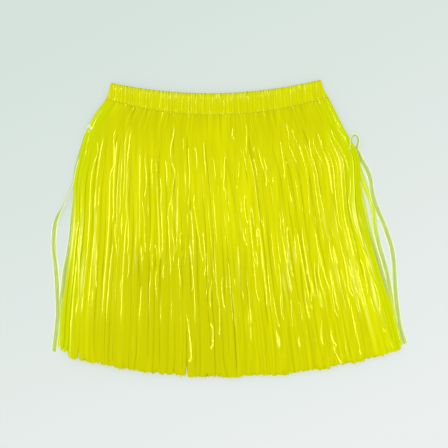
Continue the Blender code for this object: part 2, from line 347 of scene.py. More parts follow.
# The main creases of the fringe, one row each: where its upper end and its lower end lie,
# across the skirt and down the film, in percent here and then as shares
Crease = namedtuple("Crease", "top_across top_down end_across end_down")
MAIN_CREASES = tuple(Crease(*(value / 100 for value in row)) for row in (
    # from the header
    (32, 4.5, 31.5, 10.5),
    (57, 2, 56, 7.5),
    (63, 3.5, 61, 14),
    (79.5, 3, 79, 10),
    (96, 7, 97, 10.5),
    # upper half, left to right
    (10, 14, 11, 24),
    (14.5, 15, 15, 33.5),
    (26, 18, 27, 54),
    (32.5, 20.5, 30, 35),
    (39, 14, 36, 45),
    (44, 25, 45, 61),
    (52, 15.5, 50, 27),
    (58, 15.5, 55, 27.5),
    (64.5, 12, 63, 40),
    (67.5, 22.5, 68, 25),
    (75.5, 10.5, 73.5, 24),
    (82, 13, 80, 42),
    (86, 12.5, 84, 23.5),
    (94.5, 12, 96, 28.5),
    # middle
    (6.5, 42, 8, 72),
    (11, 41, 14, 58.5),
    (16, 34, 17, 55),
    (21, 35, 22, 55),
    (31, 36, 31, 52.5),
    (39, 31, 41, 53),
    (37.5, 50, 38, 66),
    (56, 37, 55.5, 57),
    (61.5, 42, 61.5, 71),
    (58.5, 50, 58.5, 69),
    (74, 44, 71.5, 86),
    (81, 50, 82, 68),
    (89, 36, 89.5, 66),
    (95.5, 38, 97, 60),
    (22.5, 22, 22.5, 30),
    (17.5, 57, 17, 66),
    (20.5, 51, 22, 67),
    (26, 52, 26.5, 60),
    (71, 44, 70.5, 62),
    (77, 34, 77, 50),
    (76.5, 46, 76.5, 68),
    # toward the hem
    (2.5, 60, 4, 78),
    (13.5, 80.5, 13, 96),
    (31, 70, 30.5, 87),
    (36, 78, 36.5, 94),
    (43.5, 80, 43, 89),
    (46, 70, 45.5, 83),
    (56.5, 65, 55, 86),
    (69.5, 70, 68, 84),
    (78.5, 60, 78, 74),
    (84.5, 56, 83.5, 99),
    (91.5, 60, 90.5, 89),
    (80, 90, 81, 98.5),
    (67, 57, 66, 76),
    (74.5, 62, 73.5, 77),
    (83, 70, 82.5, 79),
    (88, 78, 88, 97),
    (95.5, 80, 98, 99),
))
SMALL_CREASES = 84  # further ones on each outer layer, in random places
SMALL_CREASE = 0.065  # usual length of those, as a share of the film's length
GLINT_ROLL = 0.218  # a strip rolled this far shines toward the viewer
CREASE_GAP = 0.06  # least share of the film's length between two creases of a strip


def crease_lines(rng, creases, share, v):
    """Sideways shift, roll and start of the first crease for strips that carry creases, and
    nan for the others."""
    count = len(share)
    carried = [[] for _ in range(count)]
    for crease in creases:
        for strip in np.argsort(np.abs(share - (crease.top_across + crease.end_across) / 2)):
            if all(crease.end_down < other.top_down - CREASE_GAP
                   or crease.top_down > other.end_down + CREASE_GAP
                   for other in carried[strip]):
                carried[strip].append(crease)
                break
    drift, roll = np.full((2, count, len(v)), np.nan)
    first = np.full(count, np.nan)
    for strip, own in enumerate(carried):
        if not own:
            continue
        places, shifts, roll_places, rolls = [0], [0], [0], [0]
        for u0, v0, u1, v1 in sorted(own, key=lambda crease: crease.top_down):
            side = rng.choice((-1, 1)) * GLINT_ROLL
            places += [v0, v1]
            shifts += [(u0 - share[strip]) * width_at(np.array(v0)),
                       (u1 - share[strip]) * width_at(np.array(v1))]
            roll_places += [v0 - 0.02, v0 + 0.01, v1 - 0.01, v1 + 0.02]
            rolls += [side * rng.uniform(*span)
                      for span in ((-0.5, 0.3), (0.8, 1.2), (0.8, 1.2), (-0.5, 0.3))]
        # Below its last crease a strip lies flat and comes back to its own place
        places.append(1.02)
        shifts.append(0.3 * shifts[-1])
        roll_places.append(roll_places[-1] + 0.05)
        rolls.append(0.0)
        drift[strip] = np.interp(v, places, shifts)
        roll[strip] = np.interp(v, roll_places, rolls)
        first[strip] = places[1]
    return drift, roll, first


# Places where the strips curl more or less, and where the film looks brighter or darker:
# how much, then the middle and the reach across the skirt and down the film
CURLS = (
    (0.25, 0.5, 0.09, 0.35, 0.2),
    (0.25, 0.33, 0.05, 0.42, 0.15),
    (0.9, 0.78, 0.06, 0.66, 0.12),
    (-0.45, 0.12, 0.12, 0.27, 0.16),
    (-0.6, 0.94, 0.12, 0.28, 0.16),
)
SHADES = (
    (-0.45, 0, 0.06, 0.12, 0.12),
    (-0.24, 0.2, 0.1, 0, 0.07),
    (0.28, 0.47, 0.08, 0.06, 0.05),
    (0.2, 0.53, 0.06, 0.35, 0.2),
)


def patches(table, u, v):
    """Sum of a table's patches at places u across the skirt and v down the film."""
    return sum(amount * hill(u, across, reach) * hill(v, down, depth)
               for amount, across, reach, down, depth in table)


def curliness(u, v):
    """How much the strips curl over the skirt: most in the lower right, least low left."""
    return np.maximum(0, 0.56 + patches(CURLS, u, v)
                      + 0.6 * ease(u, 0.62, 0.2) * ease(v, 0.38, 0.15)
                      - 0.4 * smooth((0.62 - u) / 0.2) * ease(v, 0.58, 0.15)
                      - 0.4 * hill(u, 0.1, 0.1) * ease(v, 0.62, 0.1)
                      - 0.7 * hill(u, 0.97, 0.05) * ease(v, 0.68, 0.1)
                      - 0.35 * ease(v, 0.75, 0.2))


def shade(u, v):
    """Uneven depth of color: darker low in the middle, brighter low on the right."""
    return (patches(SHADES, u, v)
            + 0.25 * ease(u, 0.72, 0.2) * ease(v, 0.4, 0.25)
            - 0.35 * hill(u, 0.44, 0.13) * ease(v, 0.38, 0.2)
            - 0.35 * hill(u, 0.23, 0.12) * ease(v, 0.42, 0.2)
            + 0.3 * ease(u, 0.9, 0.06) * ease(v, 0.5, 0.15))


def small_creases(seed):
    """Creases in random places, more of them where the strips curl more."""
    rng = np.random.default_rng(seed)
    found = []
    while len(found) < SMALL_CREASES:
        across, down = rng.uniform(0.02, 0.98), rng.uniform(0.1, 0.85)
        if rng.random() * 1.5 < curliness(across, down):
            length = SMALL_CREASE * math.exp(rng.normal(0, 0.5))
            slant = rng.normal(0, 0.05) * length
            found.append(Crease(across, down, across + slant, min(down + length, 0.92)))
    return tuple(found)


def mirrored(creases):
    return tuple(Crease(1 - c.top_across, c.top_down, 1 - c.end_across, c.end_down)
                 for c in creases)


def slit_starts(rng, seed):
    """Where each slit between two strips starts, as a share of the film's length."""
    count = STRIPS + 1
    slit = 0.045 + 0.07 * rng.random(count) + 0.05 * rng.random(count) ** 3
    slit += 0.02 * np.sin(np.arange(count) * 0.23 + seed)
    high = rng.random(count) < HIGH_SLITS
    slit = np.where(high, 0.012 + 0.03 * rng.random(count), slit)
    slit[0] = slit[-1] = SIDE_SLIT
    return slit


def film_colors(rng, layer, v, across, middle, edge):
    """Depth of color with painted light and shade in it, greenness, and paleness from painted
    highlights, for each strip, row and column of a layer.
    """
    count = STRIPS
    order = np.arange(count)
    from_side = np.minimum(order, order[::-1])
    # Darker in the header, toward the hem and at its cut ends, with painted shade in a thin line
    # under the seam
    dark = 0.42 * hill(v, 0, 0.13) + 0.2 * hill(v, 0, 0.014) + 0.24 * ease(v, 0.55, 0.4)
    dark = dark + 0.3 * hill(v, 1, 0.01)
    tone = 0.12 * rng.normal(0, 1, (count, 1, 1)) * ease(v, 0.05, 0.2)[:, None]
    # Layers that stir less, the inner ones, are painted brighter: painted light for what passes
    # through the film above them
    tone = 0.5 + 0.4 * (1 - layer.stir) + tone - dark[:, None]
    # Painted light and shade in narrow stripes: the gathers below the seam, and the soft shading
    # between strips near the hem
    for size, where in ((0.46, hill(v, 0, 0.06)), (0.2, ease(v, 0.6, 0.2))):
        tone = tone + rng.normal(0, size, (count, 1, STRIP_COLUMNS)) * where[:, None]
    tone = tone + shade(middle, v)[:, :, None]
    # Near the sides, where fewer layers lie, some strips carry a painted highlight, pale along one
    # side
    place = rng.uniform(0.2, 0.8, (count, 1))
    glint_streak = hill(v, place, rng.uniform(0.05, 0.14, (count, 1)))
    glint_streak = glint_streak * ((rng.random(count) < 0.65) * hill(from_side, 0, 8))[:, None]
    glint_streak = 1.5 * glint_streak * ease(v, 0.14, 0.1)
    # Here and there in the middle a turned strip carries a painted highlight, pale for a short way
    spots = np.random.default_rng(layer.seed + 200)
    place = spots.uniform(0.38, 0.68, (count, 1))
    glint_spot = hill(v, place, spots.uniform(0.02, 0.05, (count, 1)))
    glint_streak = glint_streak + 0.5 * glint_spot * (spots.random((count, 1)) < 0.14)
    half = smooth(0.5 + across * rng.choice((-1, 1), (count, 1)))
    pale = 0.8 * glint_streak[:, :, None] * half[:, None, :]
    green = 0.6 * np.clip(1 - edge / 34, 0, 1)[:, :, None] ** 1.3
    green = green * (1 + 0.6 * hill(v, 0.15, 0.14))[:, None]
    return {"tone": tone, "green": green, "pale": pale}


def film_layer(layer, material):
    """One layer of film: a gathered header that is slit into strips a little way down."""
    rng = np.random.default_rng(layer.seed)
    count = STRIPS
    v = np.linspace(0, 1, layer.rows) ** 1.15
    across = np.linspace(-1, 1, STRIP_COLUMNS)
    order = np.arange(count)
    middle = (order[:, None] + 0.5) / count
    place = layer.inset + (1 - 2 * layer.inset) * middle[:, 0]
    slit = slit_starts(rng, layer.seed)
    own_drift, own_roll, first = crease_lines(rng, layer.creases, place, v)
    # A strip with a crease is slit free before its crease starts
    creased = ~np.isnan(first)
    latest = np.where(creased, np.maximum(first - 0.04, 0.012), 1.0)
    slit[:-1] = np.minimum(slit[:-1], latest)
    slit[1:] = np.minimum(slit[1:], latest)
    share = (order[:, None] + (across + 1) / 2) / count
    uncut = header(layer, layer.inset + (1 - 2 * layer.inset) * share, v)

    # Strips: calm ones lie flat side by side, lively ones roll and lie on top, and some of
    # those cross their neighbours
    lively = (rng.random(count) < LIVELY_SHARE) | creased
    crossing = lively & (rng.random(count) < CROSSING_SHARE)
    lean = np.select((crossing, lively, ~lively), LEANS)
    x, y, tx, ty, edge, step = strip_lines(rng, place, v, lean * layer.stir, own_drift)
    freedom = ease(v, slit[:-1, None], 0.1)
    twist = np.where(lively, rng.uniform(0.16, 0.36, count), 0.06) * layer.stir
    roll = twists(rng, slit[:-1], v, twist) * curliness(middle, v)
    roll = np.where(np.isnan(own_roll), roll, own_roll)
    # The outermost strips bend down over the side edge
    fold = 0.55 * hill(np.minimum(order, order[::-1]), 0, 1.35) * np.where(order < count / 2, 1, -1)
    roll += fold[:, None] * freedom
    roll += rng.normal(0, 0.04, count)[:, None] * freedom * (1 - ease(v, 0.72, 0.15))
    onset = np.where(creased, 0.04, rng.uniform(0.03, 0.3, count))
    settled = ease(v, slit[:-1, None], onset[:, None])
    cup = wander(rng, count, v, ((0.9, 0.6), (2.3, 0.5)))
    cup = np.where(lively[:, None], 0.18 + 0.05 * cup, 0.08 + 0.03 * cup) * settled
    cup = cup * (1 - 0.65 * ease(v, 0.76, 0.15))  # flatter toward the hem
    rank = (order * 7 % 5) / 5 - 0.4
    above = np.where(lively, rng.uniform(0.6, 1.3, count), 0.0) + 0.6 * crossing
    lift = layer.relief * (rank + above)[:, None]
    lift = lift + 0.28 * wander(rng, count, v, ((1.1, 0.4), (3.3, 0.4), (6.1, 0.25)))
    lift = lift * (1 - 0.8 * ease(v, 0.7, 0.18))
    rise = side_rise(edge)
    level = layer.level + layer.hem_rise * ease(v, 0.6, 0.2)
    z = layer.side_level + (level - layer.side_level) * rise
    z = z + lift * freedom * (0.3 + 0.7 * rise)
    x, y, z, tx, ty, cup, roll = (part[..., None] for part in (x, y, z, tx, ty, cup, roll))
    a, h = cupped(across, cup, roll)
    cut = np.stack((x - ty * a, y + tx * a, z + h), axis=-1)

    # From the header into the free strips, starting where the slits start
    start = slit[:-1, None] + (slit[1:, None] - slit[:-1, None]) * (across + 1) / 2
    grid = uncut + (cut - uncut) * ease(v[:, None], start[:, None, :], 0.06)[..., None]

    # Hem: each strip is a little longer or shorter than the next and cut a little slanted
    longer = step + rng.normal(0, STRIP_STEP, count) - SHORT_BY * (rng.random(count) < SHORT_SHARE)
    slant = rng.normal(0, STRIP_SLANT, (count, 1, 1)) * across
    reach = longer[:, None, None] * ease(v, 0.8, 0.2)[:, None] + slant * ease(v, 0.96, 0.04)[:, None]
    grid[..., 0] += tx * reach
    grid[..., 1] += ty * reach
    grid[..., 2] = np.maximum(grid[..., 2], LOWEST)

    index = np.arange(grid.size // 3).reshape(grid.shape[:-1])
    for strip, joined in enumerate(np.searchsorted(v, slit[:-1])):
        if strip:
            index[strip, :joined, 0] = index[strip - 1, :joined, -1]
    values = film_colors(rng, layer, v, across, middle, edge)
    piece = add_film(layer.node + "_fringe", grid, index, grid_normals(grid), material, values)
    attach(piece, "root")
    return piece


# ---- Waistband ----

BAND_HALF = 1.8  # half the casing's thickness
BAND_TURN = 2.1  # radius of the band's middle at the side turns
BAND_MIDDLE = 3.9  # height of the middle of the flattened loop
BAND_STEP = 0.55  # spacing of the casing's points along the loop
BAND_WIDTH = 320  # of one side of the loop, with the slack of its curve


def arc_at(arc, share):
    """Point x, y on an arc across the skirt, at a share of its way from the left."""
    left_x, left_y, right_x, right_y, sag = arc
    x = left_x + (right_x - left_x) * share
    return x, left_y + (right_y - left_y) * share - sag * 4 * share * (1 - share)


def band_loop():
    """Share across the waist, direction outward and distance along, all round the loop."""
    front = int(BAND_WIDTH / BAND_STEP)
    turn = int(math.pi * BAND_TURN / BAND_STEP) + 6
    ahead = np.linspace(0, 1, front, endpoint=False)
    bend = np.linspace(0, math.pi, turn, endpoint=False)
    share = np.concatenate((ahead, np.ones(turn), 1 - ahead, np.zeros(turn)))
    direction = np.concatenate((np.full(front, math.pi / 2), math.pi / 2 - bend,
                                np.full(front, -math.pi / 2), -math.pi / 2 - bend))
    return share, direction, np.arange(len(share)) * BAND_STEP


def band_points(share, direction, drop, out):
    """Points on the band: drop is the share of its height, out the distance outward."""
    inset = BAND_TURN + BAND_HALF
    top_x, top_y = arc_at(WAIST_TOP, share)
    seam_x, seam_y = arc_at(WAIST_SEAM, share)
    x = top_x + (seam_x - top_x) * drop ** WAIST_FLARE + inset * (1 - 2 * share)
    y = top_y + (seam_y - top_y) * drop
    reach = BAND_TURN + out
    x = x + reach * np.cos(direction)
    z = BAND_MIDDLE + reach * np.sin(direction)
    return np.stack(np.broadcast_arrays(x, y, z), axis=-1)


# Profile of the casing from the seam outside, over the fold, to the seam inside:
# share of the band's height, distance outward in mm, depth of the gathers there
CASING_PROFILE = np.array((
    (1.045, 0.75, 0.2), (1.005, 0.85, 0.25), (0.965, 1.25, 0.45), (0.91, 1.65, 0.38),
    (0.82, 1.85, 0.28), (0.7, 1.95, 0.26), (0.57, 1.95, 0.26), (0.44, 1.95, 0.28),
    (0.31, 1.9, 0.34), (0.2, 1.8, 0.55), (0.11, 1.55, 0.85), (0.05, 1.1, 0.95),
    (0.012, 0.55, 0.8), (0, 0, 0.7), (0.012, -0.55, 0.6), (0.06, -1.15, 0.4),
    (0.2, -1.6, 0.15), (0.5, -1.7, 0.1), (0.8, -1.7, 0.1), (1, -1.3, 0.1),
))
PROFILE_DROP, PROFILE_OUT, PROFILE_DEPTH = CASING_PROFILE.T[:, None, :]
# Folds of the casing: the distance from one to the next in mm and their share of the height
FOLDS = ((4.6, 0.4), (3.1, 0.42), (7.9, 0.24), (2.3, 0.26))
MIDDLE_CREASE = -9.0  # where the front has one deeper crease, and half its width
CREASE_HALF = 1.3
CASING_GREEN = 0.12  # how green the band looks

# Shares of the waist where painted highlight and shade ticks crowd at the top fold, and where
# painted highlight dots mark the seam's pinches
PAINTED_TICK_CLUSTERS = (0.06, 0.13, 0.22, 0.29, 0.34, 0.42, 0.5, 0.56, 0.64, 0.72, 0.77, 0.9)
PINCH_HIGHLIGHTS = (0.22, 0.31, 0.37, 0.445, 0.475, 0.5, 0.527, 0.562, 0.6, 0.625, 0.655, 0.7,
           0.73, 0.76, 0.8, 0.86)


def gathers(along, drop, rng):
    """Uneven crowded folds, -1 to 1: some run the whole height, some only part of it."""
    total = 0
    for pitch, size in FOLDS:
        bend = 1.3 * np.sin(TAU * along / (pitch * 6.7) + rng.uniform(0, TAU))
        lean = rng.uniform(-0.5, 0.5) + 0.7 * np.sin(TAU * along / 57 + rng.uniform(0, TAU))
        part = 0.65 + 0.35 * np.sin(TAU * along / 19 + 4.5 * drop + rng.uniform(0, TAU))
        turn = TAU * along / pitch + bend + lean * drop + rng.uniform(0, TAU)
        total += size * part * np.sin(turn)
    return total


def casing_colors_and_painted_light(rng, along, drop, folds, sides):
    """Color values with painted light and shade: crests carry a painted highlight, and the folds
    between them, the top edge and the seam painted shade. Sides hold the share of the waist on
    the front and on the back, -1 elsewhere."""
    along = along[:, None]
    # Painted light on the crests and painted shade between the folds, at the seam and at the top
    # edge
    tone = 0.32 + 0.95 * folds - 0.8 * hill(drop, 1.02, 0.05)
    tone = tone - (1.2 - 0.9 * folds) * hill(drop, 0.0, 0.06)
    patch = 0.5 + 0.5 * np.sin(TAU * along / 13.7 + 7.0 * drop + 2 * np.sin(along / 9))
    pale = 0.38 * ease(folds, 0.3, 0.5) * ease(patch, 0.35, 0.4) + 0.015
    pale = pale * (0.4 + 0.6 * hill(drop, 0.25, 0.2))
    # Painted highlights and painted shade in short bright and dark ticks where the film is crowded
    #     over the top fold, and painted highlights in bright dots where the stitches pinch it
    for side in sides:
        for middle in PAINTED_TICK_CLUSTERS:
            for _ in range(4):
                place = middle + rng.normal(0, 0.018)
                line = hill(side, place, rng.uniform(0.0012, 0.002))
                end = rng.uniform(0.1, 0.38)
                pale += rng.uniform(0.25, 0.75) * line * smooth((end - drop) / 0.08) * (drop > 0.04)
                line = hill(side, place + rng.uniform(-0.01, 0.01), 0.0016)
                tone -= rng.uniform(0.8, 2.0) * line * smooth((0.16 - drop) / 0.08)
        for place in PINCH_HIGHLIGHTS:
            glint_spot = hill(side, place + rng.normal(0, 0.002), 0.0022)
            pale += rng.uniform(0.3, 0.6) * glint_spot * hill(drop, rng.uniform(0.92, 0.96), 0.03)
    return {"tone": tone, "pale": np.minimum(pale, 1.0), "green": CASING_GREEN}


def make_casing(material):
    rng = np.random.default_rng(41)
    share, direction, along = band_loop()
    facing = np.sin(direction)[:, None]
    # The folds stand more upright than the band's sides
    top_x, _ = arc_at(WAIST_TOP, share)
    seam_x, _ = arc_at(WAIST_SEAM, share)
    upright = 0.8 * (seam_x - top_x)[:, None] * PROFILE_DROP ** WAIST_FLARE
    folds = gathers(along[:, None] + upright * np.sign(facing), PROFILE_DROP, rng)
    crease = hill(top_x, MIDDLE_CREASE, CREASE_HALF)[:, None] * (facing > 0.5)
    out = PROFILE_OUT + 0.75 * PROFILE_DEPTH * folds - 0.8 * PROFILE_DEPTH * crease
    # Folds on the outside don't sink into the film on the inside
    outside = np.maximum(out, 0.62 * (PROFILE_OUT > 0.7))
    out = np.where(PROFILE_OUT < -0.5, out, outside)
    ripple = 0.018 * folds * (PROFILE_DROP < 0.1)
    grid = band_points(share[:, None], direction[:, None], PROFILE_DROP + ripple, out)
    grid[..., 2] = np.maximum(grid[..., 2], LOWEST)
    ring = np.concatenate((grid[-1:], grid, grid[:1]))
    normals = -grid_normals(ring)[1:-1]
    index = np.arange(folds.size).reshape(folds.shape)
    index = np.concatenate((index, index[:1]))
    place = share[:, None] + upright / (WAIST_TOP[2] - WAIST_TOP[0])
    sides = (np.where(facing > 0.5, place, -1.0),
             np.where(facing < -0.5, 1 - place, -1.0))
    values = casing_colors_and_painted_light(rng, along, PROFILE_DROP, folds, sides)
    piece = add_film("waistband_gathered_casing", grid, index, normals, material, values)
    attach(piece, "root")
    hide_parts("waistband_casing")
    return piece


STITCHED_WIDTH = 310  # along the seam
STITCH_LENGTH = 2.3
STITCH_PITCH = 3.3
STITCH_RADIUS = 0.21
STITCH_SIDES = 6
STITCH_RINGS = 5
STITCH_DROP = 0.985  # share of the band's height


def make_stitches(material):
    """A row of short stitches along the seam, on the front and on the back."""
    rng = np.random.default_rng(43)
    count = int(STITCHED_WIDTH / STITCH_PITCH)
    t = np.linspace(-1, 1, STITCH_RINGS)[:, None, None]
    angle = (np.arange(STITCH_SIDES) * TAU / STITCH_SIDES)[:, None]
    radius = STITCH_RADIUS * np.maximum(0.15, np.sqrt(1 - t ** 4))
    index = np.arange(STITCH_RINGS * STITCH_SIDES).reshape(STITCH_RINGS, STITCH_SIDES)
    tube = grid_quads(np.concatenate((index, index[:, :1]), axis=1).T)
    near, far = index[0], index[-1]
    ends = (near[3::-1], near[[0, 5, 4, 3]], far[2:], far[[5, 0, 1, 2]])
    points, quads = [], []
    for direction, height in ((math.pi / 2, 1.15), (-math.pi / 2, 1.1)):
        for stitch in range(count):
            share = (stitch + 0.5 + rng.uniform(-0.08, 0.08)) / count
            drop = STITCH_DROP + rng.uniform(-0.006, 0.006)
            here = band_points(share, direction, drop, height)
            ahead = band_points(share + 0.004, direction, STITCH_DROP, height)
            along = (ahead - here) / np.linalg.norm(ahead - here)
            up = np.array((0.0, 0.0, math.sin(direction)))
            side = np.cross(up, along)
            middle = here + along * (t * STITCH_LENGTH / 2) - up * 0.35 * t ** 4
            ring = radius * (np.cos(angle) * side + np.sin(angle) * up)
            quads.append(np.concatenate((tube, ends)) + len(points) * index.size)
            points.append((middle + ring).reshape(-1, 3))
    points = np.concatenate(points)
    points[:, 2] = np.maximum(points[:, 2], FLOOR_GAP)
    piece = add_mesh("waistband_stitches", points, np.concatenate(quads), material)
    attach(piece, "root")
    return piece


# ---- Loose strips ----

# A loose strip: node, how far from its start it lies over others and looks as yellow as they,
# from where it does so again, whether its upper end curls over and carries a painted highlight,
# and its route: x, y and height of its middle in mm and its roll in degrees
LooseStrip = namedtuple("LooseStrip", "node double again curled route")
LOOSE_STRIPS = (
    LooseStrip("loose_strip_left_outer", 0, None, True, (
        (-195.5, 143.8, 7.6, 8), (-198.5, 141.2, 6.6, 20), (-201.5, 136.5, 4.8, 26),
        (-206.8, 124, 3.5, 34), (-213, 106, 2.5, 50), (-218.5, 88, 2.6, 62), (-222, 68, 2.6, 68),
        (-226.5, 54, 2.6, 72), (-232.5, 39.5, 2.6, 72), (-238.5, 27.5, 2.4, 62),
        (-243.5, 18.5, 1.8, 40), (-247.6, 5, 1.2, 15), (-249.4, -13, 0.9, 0), (-249.2, -32, 0.9, -8),
        (-247, -52.5, 0.8, 0), (-245.6, -71, 0.8, 10), (-244.6, -89.5, 0.8, 4),
        (-243.8, -108, 0.9, -6), (-243.7, -122, 1, 5), (-245.5, -142, 0.9, 12),
        (-247.2, -158.5, 0.8, 0), (-249, -175.5, 0.7, -4),
    )),
    LooseStrip("loose_strip_left_inner", 90, 165, False, (
        (-214, 78, 3, 30), (-219, 45, 2.4, 20), (-222.5, 15, 1.8, 10), (-226, -20, 1.2, 4),
        (-229, -38, 0.9, 0), (-233, -57, 0.8, -8), (-236.3, -84, 0.8, 0), (-238.6, -104, 0.8, 8),
        (-239.8, -125, 0.8, 0), (-240, -144.5, 0.8, -6), (-240.2, -169, 0.7, 0),
    )),
    LooseStrip("loose_strip_right_curled", 0, None, False, (
        (169.6, 103, 6, 30), (171.8, 109.6, 5.6, 50), (173.4, 116, 5, 62), (173.2, 123, 4.6, 66),
        (174.6, 128.7, 4.2, 68), (177.8, 131.2, 4, 70), (181.2, 128.7, 3.8, 70),
        (182.6, 123.8, 3.4, 68), (181.4, 118.1, 3, 62), (180, 112.6, 2.6, 48),
        (183.2, 105.5, 1.8, 30), (187.6, 96.6, 1.4, 12), (193.2, 87.2, 1.2, 0), (198, 77.5, 1, -5),
        (201, 66.5, 1.2, -15), (202.4, 54.5, 1.6, -20), (205, 42, 1.8, -10), (210, 28, 1.2, 0),
        (217.3, 10.5, 0.9, 6), (224.5, -8.5, 0.9, 0), (230.5, -27, 0.9, -8), (233.2, -44, 0.9, 0),
        (234.4, -62, 0.8, 5), (235.4, -80, 0.8, 0), (236.8, -98, 0.8, -5), (238.6, -115, 0.9, 0),
        (242, -138, 1, 8), (246, -153, 0.9, 4), (250.2, -164, 0.8, 0),
    )),
    LooseStrip("loose_strip_right_middle", 160, 195, False, (
        (174, 112, 4.5, -20), (180.5, 95, 3.2, -15), (187, 77, 1.8, -10), (190.5, 66, 1.2, 0),
        (194.5, 54.5, 0.9, 0), (199.5, 43, 0.8, 10), (203, 31, 0.8, 18), (205.3, 16, 0.8, 8),
        (207, 2.5, 0.8, 0), (210, -11.5, 0.8, -8), (214, -28.5, 0.8, -4), (219, -45.5, 0.8, 0),
        (223.5, -62.5, 0.9, 6), (227, -81, 0.9, 0), (229.8, -98, 0.9, -5), (231.8, -115, 0.8, 0),
        (234.5, -133, 0.8, 0), (238.5, -149.5, 0.8, 5), (243.8, -166.5, 0.8, 0),
    )),
    LooseStrip("loose_strip_right_inner", 140, None, False, (
        (178, 84, 4.5, -15), (184, 60, 2.8, -10), (188.5, 40, 1.4, 0), (190.9, 30, 0.9, 5),
        (193.3, 20, 0.8, 0), (197.5, 3, 0.8, -6), (201.8, -13, 0.8, 0), (206.5, -29.5, 0.8, 6),
        (211.5, -45, 0.8, 0), (216.6, -63, 0.9, -5), (221, -80, 1, 0), (224.3, -96, 0.9, 0),
        (226, -113, 0.8, 0),
    )),
)
LOOSE_WIDTH = 7.8  # of the loose strips, which lie a little flatter than the rest
LOOSE_STEP = 2.0  # from one row of their points to the next
DOUBLE_FADE = 90.0  # length over which the yellow fades
AGAIN_FADE = 40.0  # and over which it comes back


def ribbon(route, across, cup):
    """Grid of points of a strip along a smooth curve through its route, cupped by an angle."""
    route = np.array(route, float)
    places = np.concatenate(([0.0], np.cumsum(np.hypot(*np.diff(route[:, :2], axis=0).T))))
    rows = max(8, int(places[-1] / LOOSE_STEP))
    line = hermite(places, route, np.linspace(0, places[-1], rows))
    tangent = np.gradient(line[:, :2], axis=0)
    tangent /= np.hypot(*tangent.T)[:, None]
    a, h = cupped(across, cup, np.radians(line[:, 3])[:, None], LOOSE_WIDTH)
    x = line[:, 0:1] - tangent[:, 1:2] * a
    y = line[:, 1:2] + tangent[:, 0:1] * a
    return np.stack((x, y, np.maximum(line[:, 2:3] + h, LOWEST)), axis=-1)


def make_loose_strip(strip, seed, material):
    rng = np.random.default_rng(seed)
    across = np.array((-1, -0.86, -0.72, -0.5, -0.25, 0, 0.25, 0.5, 0.72, 0.86, 1))
    grid = ribbon(strip.route, across, rng.uniform(0.45, 0.6))
    index = np.arange(grid.size // 3).reshape(grid.shape[:-1])
    along = np.arange(len(grid))[:, None] * LOOSE_STEP
    # Painted highlights along both rims, and on a curled strip at its upper end
    rim = ease(np.abs(across), 0.6, 0.35)
    if strip.curled:
        rim = np.maximum(rim, 0.6 * hill(along, 0, 5.0))
    double = 1 - smooth((along - strip.double) / DOUBLE_FADE + 1)
    if strip.again:
        double = np.maximum(double, ease(along, strip.again, AGAIN_FADE))
    values = {"rim": rim, "double": double}
    piece = add_film(strip.node + "_film", grid, index, grid_normals(grid), material, values)
    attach(piece, "root")
    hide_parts(strip.node)
    return piece


# ---- Materials ----

# Colors of the film
DARK = (0.555, 0.56, 0)
BRIGHT = (0.7, 0.715, 0)
# Painted shade in deep creases
CREASE_SHADE = (0.17, 0.19, 0)
NEAR_SIDES = (0.545, 0.67, 0)
# Painted highlight where strips and gathers look pale
PAINTED_HIGHLIGHT = (0.86, 0.9, 0.17)
SINGLE = (0.405, 0.495, 0.12)
# Painted highlight along the rims of single film
SINGLE_RIM_HIGHLIGHT = (0.84, 0.93, 0.55)
OVER_OTHERS = (0.55, 0.66, 0)
GLOSS_TINT = (1, 1, 0.25, 1)
FILM_SHINE = 0.4  # of the strips, and of the crowded film in the waistband
CASING_SHINE = 0.2
PAINTED_GLOW = 0.2  # painted glow: partly the fluorescent film's own light, partly painted light that lifts the shade between its strips
SINGLE_PAINTED_GLOW = 0.35  # and more painted glow where only one thickness lies over the pale surface
FINE_CREASES = (900, 28, 600)  # to a metre across, along and up
BROAD_CREASES = (170, 9, 170)


def new_material(name):
    material = bpy.data.materials.new(name)
    material.use_nodes = True
    tree = material.node_tree
    return material, tree, tree.nodes["Principled BSDF"]


def set_sockets(node, **values):
    """Sets a node's sockets by name, or by number given as _0, _1 and so on."""
    for name, value in values.items():
        key = int(name[1:]) if name[0] == "_" else name.replace("_", " ")
        node.inputs[key].default_value = value


def add_node(tree, kind, **values):
    node = tree.nodes.new(kind)
    set_sockets(node, **values)
    return node


def join(tree, source, output, node, socket):
    tree.links.new(source.outputs[output], node.inputs[socket])


def streaks(tree, scale, detail):
    """Noise drawn out along the strips, from object coordinates."""
    coords = tree.nodes.new("ShaderNodeTexCoord")
    mapping = add_node(tree, "ShaderNodeMapping", Scale=scale)
    noise = add_node(tree, "ShaderNodeTexNoise", Scale=1.0, Detail=detail, Roughness=0.55)
    join(tree, coords, "Object", mapping, "Vector")
    join(tree, mapping, "Vector", noise, "Vector")
    return noise


def remap(tree, source, low, high, to_low, to_high):
    node = add_node(tree, "ShaderNodeMapRange", From_Min=low, From_Max=high,
                    To_Min=to_low, To_Max=to_high)
    tree.links.new(source, node.inputs["Value"])
    return node.outputs["Result"]


def attribute(tree, name):
    node = tree.nodes.new("ShaderNodeAttribute")
    node.attribute_name = name
    return node.outputs["Fac"]


def mix(tree, share, first, second):
    """Color that goes from first to second with share; each a color or an output."""
    node = tree.nodes.new("ShaderNodeMix")
    node.data_type = "RGBA"
    tree.links.new(share, node.inputs["Factor"])
    for socket, value in zip(node.inputs[6:8], (first, second)):  # its color sockets
        if isinstance(value, tuple):
            socket.default_value = (*value, 1)
        else:
            tree.links.new(value, socket)
    return node.outputs[2]


